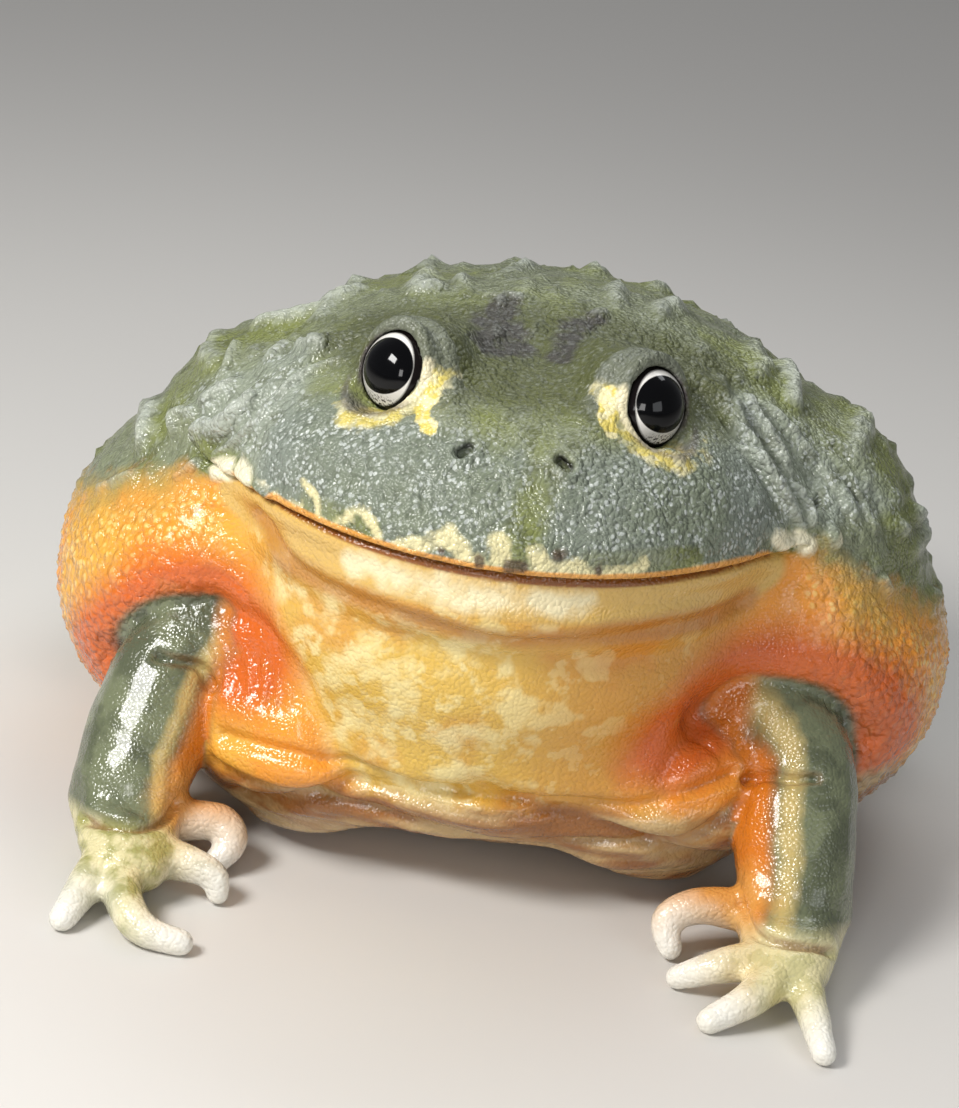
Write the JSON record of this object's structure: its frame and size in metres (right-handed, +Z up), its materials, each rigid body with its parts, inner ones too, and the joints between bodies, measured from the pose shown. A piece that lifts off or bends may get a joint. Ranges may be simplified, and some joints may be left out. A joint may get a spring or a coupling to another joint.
{
  "type": "african bullfrog",
  "caption": "Life-size still model of a large frog sitting up on its front legs, body swollen with air, broad closed mouth, ridged green back, orange flanks and yellow throat.",
  "frame": {"origin": "centre of the bounding box on the floor", "axes": "+Z up, shortest; Y along the body, longest; the frog faces -Y and its left side is +X"},
  "size_m": [0.1742, 0.2018, 0.1021],
  "materials": {
    "back_skin": "moist, granular, olive green to grey",
    "throat_skin": "moist, smooth, yellow with cream mottling",
    "flank_skin": "moist, granular, orange",
    "digit_skin": "moist, smooth, cream with white tips",
    "eye": "wet, glossy, black pupil in a silvery ring"
  },
  "bodies": {
    "root": {"head": "back_skin", "lower_jaw": "throat_skin", "torso": "back_skin", "eye_left": "eye", "eye_right": "eye", "upper_arm_left": "flank_skin", "upper_arm_right": "flank_skin", "forearm_left": "back_skin", "forearm_right": "back_skin", "hand_left": "digit_skin", "hand_right": "digit_skin", "thigh_left": "back_skin", "thigh_right": "back_skin", "shank_left": "back_skin", "shank_right": "back_skin", "foot_left": "digit_skin", "foot_right": "digit_skin"}
  },
  "joints": []
}
